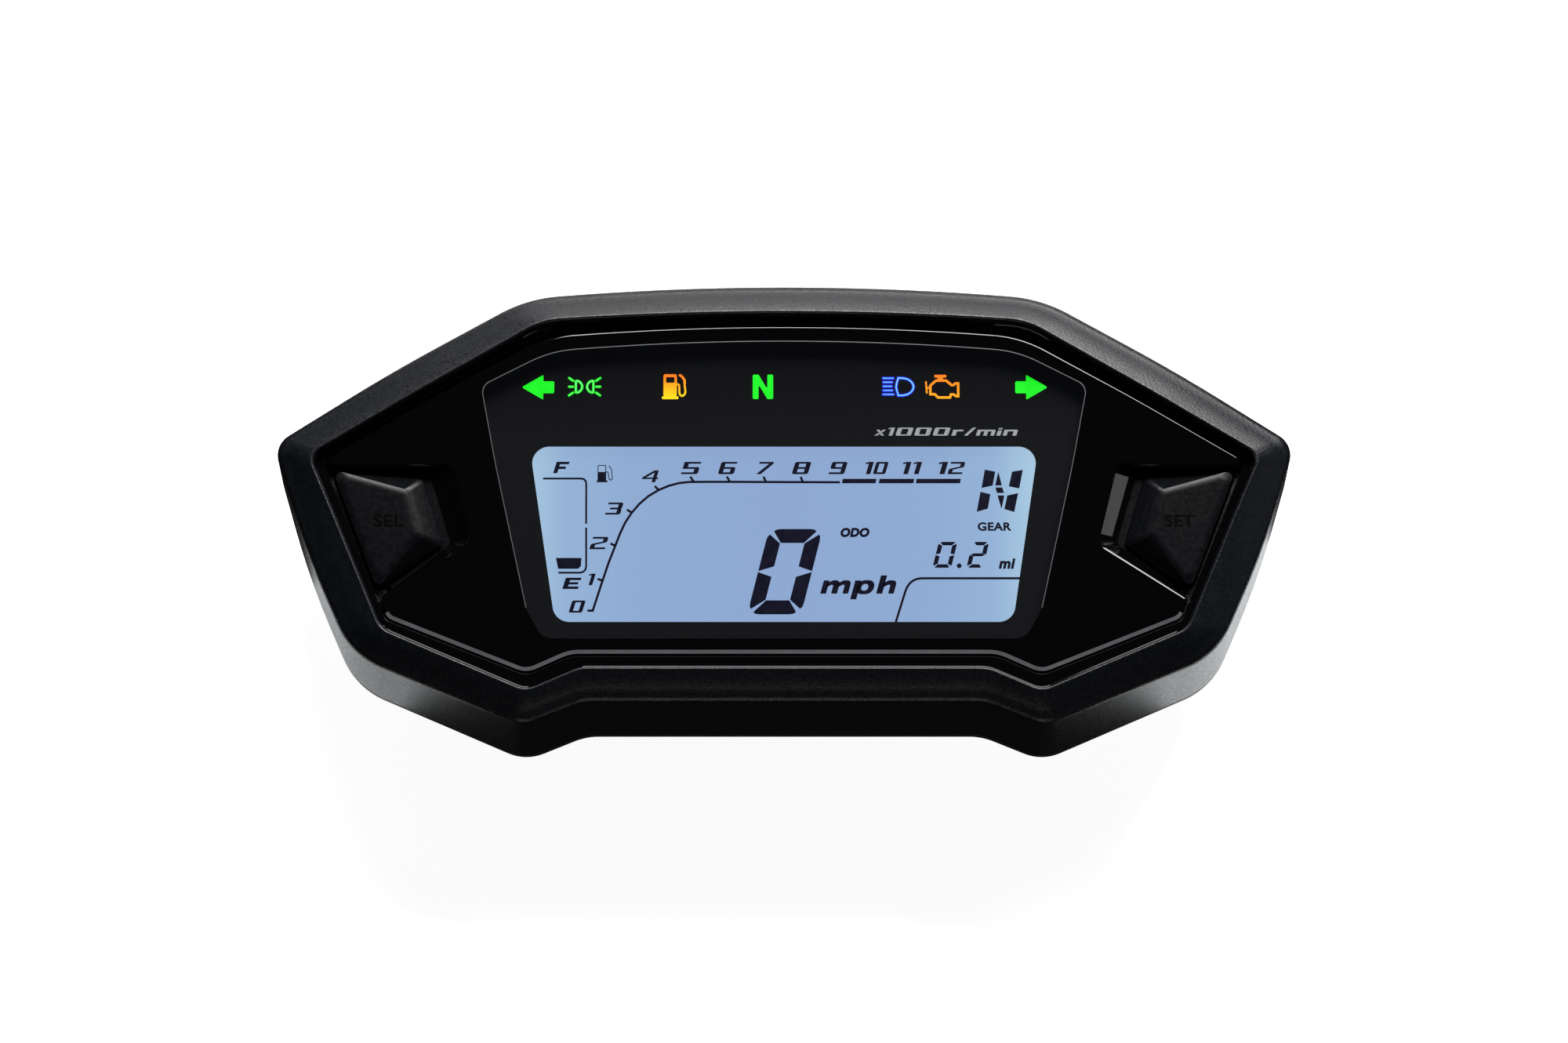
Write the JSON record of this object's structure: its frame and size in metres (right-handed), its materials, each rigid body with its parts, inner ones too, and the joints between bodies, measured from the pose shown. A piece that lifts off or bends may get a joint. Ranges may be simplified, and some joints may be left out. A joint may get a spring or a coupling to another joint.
{
  "type": "motorcycle instrument cluster",
  "caption": "Flat hexagonal motorcycle instrument cluster with a backlit display, a row of indicator lamps, two press buttons, a sealed housing and a rear socket.",
  "frame": {"origin": "bottom centre of the cluster's box, on the plane of the three rear mounting boss faces", "axes": "+Z out of the display towards the rider, +X to the rider's right, +Y up on the display"},
  "size_m": [0.1752, 0.0794, 0.042],
  "materials": {
    "housing_plastic": "black moulding with fine spark-eroded grain",
    "surround_gloss": "polished deep black",
    "window_clear": "polished clear",
    "dial_print": "screen-printed satin black",
    "button_rubber": "matte black rubber",
    "button_legend": "recessed dark lettering",
    "white_plastic": "satin white",
    "baffle_plastic": "matte black",
    "lcd_glass": "polarised glass over a pale blue backlight",
    "lcd_segment": "dark navy liquid crystal segments",
    "light_guide": "frosted clear",
    "lamp_green": "lit green symbol",
    "lamp_orange": "lit orange symbol",
    "lamp_blue": "lit blue symbol",
    "legend_print": "pale grey print",
    "circuit_board": "green solder mask",
    "chip_epoxy": "moulded epoxy",
    "led_package": "clear resin",
    "gasket_silicone": "soft black silicone",
    "brass": "turned",
    "screw_steel": "zinc plated",
    "aluminium_can": "satin"
  },
  "bodies": {
    "housing": {"backlight_led_1": "led_package", "backlight_led_2": "led_package", "backlight_led_3": "led_package", "backlight_led_4": "led_package", "board_screw_1": "screw_steel", "board_screw_2": "screw_steel", "board_screw_3": "screw_steel", "board_screw_4": "screw_steel", "case_gasket": "gasket_silicone", "case_screw_1": "screw_steel", "case_screw_2": "screw_steel", "case_screw_3": "screw_steel", "case_screw_4": "screw_steel", "case_screw_5": "screw_steel", "case_screw_6": "screw_steel", "connector_pins": "brass", "connector_shroud": "housing_plastic", "dial_plate": "dial_print", "display_driver_chip": "chip_epoxy", "front_case": "housing_plastic", "indicator_baffle": "baffle_plastic", "lcd_frame": "white_plastic", "lcd_front_glass": "lcd_glass", "lcd_rear_glass": "lcd_glass", "led_engine_check": "led_package", "led_fuel_low": "led_package", "led_high_beam": "led_package", "led_neutral": "led_package", "led_position_lamp": "led_package", "led_turn_left": "led_package", "led_turn_right": "led_package", "lens_surround": "surround_gloss", "lens_window": "window_clear", "light_guide": "light_guide", "main_board": "circuit_board", "microcontroller": "chip_epoxy", "rear_case": "housing_plastic", "reflector_tray": "white_plastic", "sel_switch_body": "chip_epoxy", "set_switch_body": "chip_epoxy", "smoothing_capacitor": "aluminium_can", "threaded_insert_1": "brass", "threaded_insert_2": "brass", "threaded_insert_3": "brass", "timing_crystal": "aluminium_can", "vent_plug": "gasket_silicone", "voltage_regulator": "chip_epoxy"},
    "sel_button": {"sel_button": "button_rubber"},
    "set_button": {"set_button": "button_rubber"},
    "sel_plunger": {"sel_switch_plunger": "white_plastic"},
    "set_plunger": {"set_switch_plunger": "white_plastic"}
  },
  "joints": [
    {"name": "sel_press", "type": "slide", "parent": "housing", "child": "sel_button", "axis": [0, 0, -1], "range_m": [0, 0.001], "stiffness_N_per_m": 900},
    {"name": "sel_plunger_press", "type": "slide", "parent": "housing", "child": "sel_plunger", "axis": [0, 0, -1], "range_m": [0, 0.001]},
    {"name": "set_press", "type": "slide", "parent": "housing", "child": "set_button", "axis": [0, 0, -1], "range_m": [0, 0.001], "stiffness_N_per_m": 900},
    {"name": "set_plunger_press", "type": "slide", "parent": "housing", "child": "set_plunger", "axis": [0, 0, -1], "range_m": [0, 0.001]}
  ],
  "couplings": [
    {"joint": "sel_plunger_press", "follows": "sel_press", "ratio": 1},
    {"joint": "set_plunger_press", "follows": "set_press", "ratio": 1}
  ]
}
